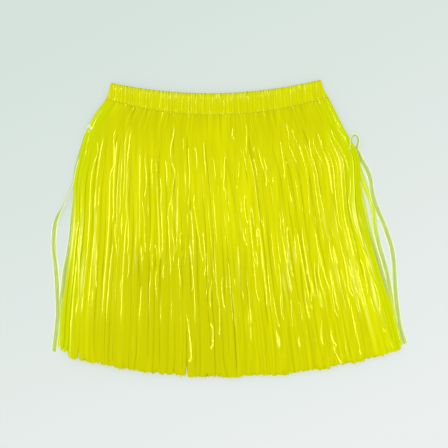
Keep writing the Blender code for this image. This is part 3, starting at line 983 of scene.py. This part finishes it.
def two_colors(tree, shader, source, low, high):
    """Ramp from one color to the other by the source node's value, as the base color."""
    ramp = tree.nodes.new("ShaderNodeValToRGB")
    ramp.color_ramp.elements[0].color = (*low, 1)
    ramp.color_ramp.elements[1].color = (*high, 1)
    join(tree, source, "Fac", ramp, "Fac")
    join(tree, ramp, "Color", shader, "Base Color")
    return ramp


def glossy_film(tree, shader, color, painted_glow, shine):
    """Glossy film of that color with fine creases along it, glowing with painted light."""
    tree.links.new(color, shader.inputs["Base Color"])
    # The film glows in its own color: painted light, partly its fluorescence, that lifts the shade
    # between strips
    tree.links.new(color, shader.inputs["Emission Color"])
    set_sockets(shader, Emission_Strength=painted_glow, Specular_IOR_Level=shine,
                Specular_Tint=GLOSS_TINT)
    fine = streaks(tree, FINE_CREASES, 3.0)
    rough = remap(tree, fine.outputs["Fac"], 0.3, 0.7, 0.1, 0.17)
    tree.links.new(rough, shader.inputs["Roughness"])
    creases = add_node(tree, "ShaderNodeBump", Strength=0.15, Distance=0.0002)
    join(tree, fine, "Fac", creases, "Height")
    join(tree, creases, "Normal", shader, "Normal")


def film_material(name, shine):
    """Fluorescent film: uneven from strip to strip, greener where fewer layers lie, with painted
    shade in deep creases, painted highlights where pale and a painted glow.
    """
    material, tree, shader = new_material(name)
    broad = streaks(tree, BROAD_CREASES, 2.0)
    total = tree.nodes.new("ShaderNodeMath")
    total.operation = "ADD"
    tree.links.new(attribute(tree, "tone"), total.inputs[0])
    tree.links.new(remap(tree, broad.outputs["Fac"], 0.3, 0.7, -0.25, 0.25), total.inputs[1])
    depth = total.outputs["Value"]
    yellow = mix(tree, depth, DARK, BRIGHT)
    # Painted shade where the depth falls far below zero: deep creases
    yellow = mix(tree, remap(tree, depth, -0.4, -2.4, 0.0, 1.0), yellow, CREASE_SHADE)
    green = mix(tree, attribute(tree, "green"), yellow, NEAR_SIDES)
    # Painted highlights where the pale value is set
    color = mix(tree, attribute(tree, "pale"), green, PAINTED_HIGHLIGHT)
    glossy_film(tree, shader, color, PAINTED_GLOW, shine)
    return material


def single_film_material():
    """One thickness of film over the pale surface: paler and greener, with painted highlights at
    its rims and a painted glow.
    """
    material, tree, shader = new_material("fluorescent_film_single")
    single = mix(tree, attribute(tree, "rim"), SINGLE, SINGLE_RIM_HIGHLIGHT)
    color = mix(tree, attribute(tree, "double"), single, OVER_OTHERS)
    glossy_film(tree, shader, color, SINGLE_PAINTED_GLOW, FILM_SHINE)
    set_sockets(shader, Alpha=0.7)
    return material


def thread_material():
    material, tree, shader = new_material("stitching_thread")
    twist = streaks(tree, (1500, 1500, 1500), 1)
    two_colors(tree, shader, twist, (0.5, 0.5, 0), (0.66, 0.67, 0.01))
    set_sockets(shader, Roughness=0.8, Specular_IOR_Level=0.1)
    return material


def elastic_material():
    """Woven band: ribs along it."""
    material, tree, shader = new_material("woven_elastic")
    coords = tree.nodes.new("ShaderNodeTexCoord")
    ribs = add_node(tree, "ShaderNodeTexWave", Scale=220.0, Distortion=0.4)
    ribs.bands_direction = "Y"
    join(tree, coords, "Object", ribs, "Vector")
    two_colors(tree, shader, ribs, (0.66, 0.66, 0.6), (0.82, 0.82, 0.78))
    bump = add_node(tree, "ShaderNodeBump", Strength=0.5, Distance=0.0003)
    join(tree, ribs, "Fac", bump, "Height")
    join(tree, bump, "Normal", shader, "Normal")
    set_sockets(shader, Roughness=0.85)
    return material


# ---- Surroundings ----

FLOOR_SHADE = (0.69, 0.79, 0.737)
FLOOR_LIGHT = (0.865, 0.9, 0.89)
FLOOR_GLOW = 0.965  # the floor's own light, and its share in how bright the floor looks
FLOOR_GLOW_SHARE = 0.55


def make_floor():
    """A pale floor, darker toward one corner, partly lit by itself so that shadows stay faint."""
    bpy.ops.mesh.primitive_plane_add(size=6.0, location=(0, 0, -0.0004))
    floor = bpy.context.object
    floor.name = "floor"
    material, tree, shader = new_material("pale_floor")
    coords = tree.nodes.new("ShaderNodeTexCoord")
    mapping = add_node(tree, "ShaderNodeMapping", Location=(0.5, 0, 0),
                       Rotation=(0, 0, math.radians(65)), Scale=(1.4, 1.4, 1))
    gradient = tree.nodes.new("ShaderNodeTexGradient")
    join(tree, coords, "Object", mapping, "Vector")
    join(tree, mapping, "Vector", gradient, "Vector")
    ramp = two_colors(tree, shader, gradient, FLOOR_SHADE, FLOOR_LIGHT)
    set_sockets(shader, Roughness=1.0, Specular_IOR_Level=0.0)
    lit = add_node(tree, "ShaderNodeEmission", Strength=FLOOR_GLOW)
    both = add_node(tree, "ShaderNodeMixShader", _0=FLOOR_GLOW_SHARE)
    join(tree, ramp, "Color", lit, "Color")
    join(tree, shader, "BSDF", both, 1)
    join(tree, lit, "Emission", both, 2)
    join(tree, both, "Shader", tree.nodes["Material Output"], "Surface")
    floor.data.materials.append(material)


def add_sun(name, tilt_x, tilt_y, strength, spread, glints):
    """A sun tilted from overhead by degrees toward +X and +Y, for glints or for the rest."""
    light = bpy.data.lights.new(name, "SUN")
    light.energy = strength
    light.angle = math.radians(spread)
    sun = add_object(name, light)
    toward = Vector((math.tan(math.radians(tilt_x)), math.tan(math.radians(tilt_y)), 1.0))
    sun.rotation_mode = "QUATERNION"
    sun.rotation_quaternion = toward.to_track_quat("Z", "Y")
    sun.visible_diffuse = not glints
    sun.visible_glossy = glints


# The two panels for the glints: distance to each side, height and size in metres, power
PANEL_SIDE = 2.3
PANEL_HEIGHT = 5.0
PANEL_SIZE = (0.32, 3.2)
PANEL_POWER = 98.0
SKY = 0.86  # strength of the even light all round


def add_panel(name, x):
    """A long narrow light panel beside the skirt that shines on its middle, for glints."""
    light = bpy.data.lights.new(name, "AREA")
    light.shape = "RECTANGLE"
    light.size, light.size_y = PANEL_SIZE
    light.energy = PANEL_POWER
    panel = add_object(name, light)
    panel.location = (x, 0.0, PANEL_HEIGHT)
    panel.rotation_mode = "QUATERNION"
    panel.rotation_quaternion = Vector((-x, 0.0, -PANEL_HEIGHT)).to_track_quat("-Z", "X")
    panel.visible_diffuse = False


def make_light():
    world = bpy.data.worlds.new("studio")
    bpy.context.scene.world = world
    world.use_nodes = True
    background = world.node_tree.nodes["Background"]
    set_sockets(background, Color=(1, 1, 1, 1), Strength=SKY)
    world.cycles_visibility.glossy = False
    add_sun("soft_key", tilt_x=-18, tilt_y=30, strength=0.42, spread=70, glints=False)
    add_panel("panel_right", PANEL_SIDE)
    add_panel("panel_left", -PANEL_SIDE)
    add_sun("glint_waist", tilt_x=6, tilt_y=52, strength=0.12, spread=8, glints=True)
    view = bpy.context.scene.view_settings
    view.view_transform = "Standard"
    view.look = "None"


# The photograph's frame: 448 pixels square, at this scale on the skirt's upper side
MM_PER_PIXEL = 1.416
FRAME_PIXELS = 448
FRAME_MIDDLE = (-7.5, 5.5)
SKIRT_TOP = 6.0
CAMERA_HEIGHT = 1600.0
SENSOR = 36.0


def make_camera():
    data = bpy.data.cameras.new("camera")
    data.sensor_width = SENSOR
    data.lens = SENSOR * CAMERA_HEIGHT / (MM_PER_PIXEL * FRAME_PIXELS)
    camera = add_object("camera", data)
    camera.location = Vector((*FRAME_MIDDLE, CAMERA_HEIGHT + SKIRT_TOP)) * MM
    bpy.context.scene.camera = camera


# ---- Assembly ----

def main():
    make_camera()
    make_light()
    make_floor()
    film = film_material("fluorescent_film", FILM_SHINE)
    gathered = film_material("fluorescent_film_gathered", CASING_SHINE)
    single = single_film_material()

    front_creases = MAIN_CREASES + small_creases(21)
    back_creases = mirrored(MAIN_CREASES) + small_creases(22)
    layers = (
        Layer("film_back_outer", 11, OUTER_ROWS, 1.3, 1.2, 0.0, 0.004, 0.35, 1.0, back_creases),
        Layer("film_back_inner", 12, INNER_ROWS, 3.1, 1.9, 0.0, 0.012, 0.4, 0.3, ()),
        Layer("film_front_inner", 13, INNER_ROWS, 5.2, 2.7, 1.1, 0.008, 0.4, 0.4, ()),
        Layer("film_front_outer", 14, OUTER_ROWS, 7.2, 3.4, 0.0, 0.002, 0.34, 1.0, front_creases),
    )
    strips = [make_loose_strip(strip, 60 + number, single)
              for number, strip in enumerate(LOOSE_STRIPS)]
    for layer in layers:
        piece = film_layer(layer, film)
        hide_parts(layer.node)
    casing = make_casing(gathered)
    stitches = make_stitches(thread_material())
    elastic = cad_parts["waistband_elastic"]
    elastic.data.materials.clear()
    elastic.data.materials.append(elastic_material())


main()
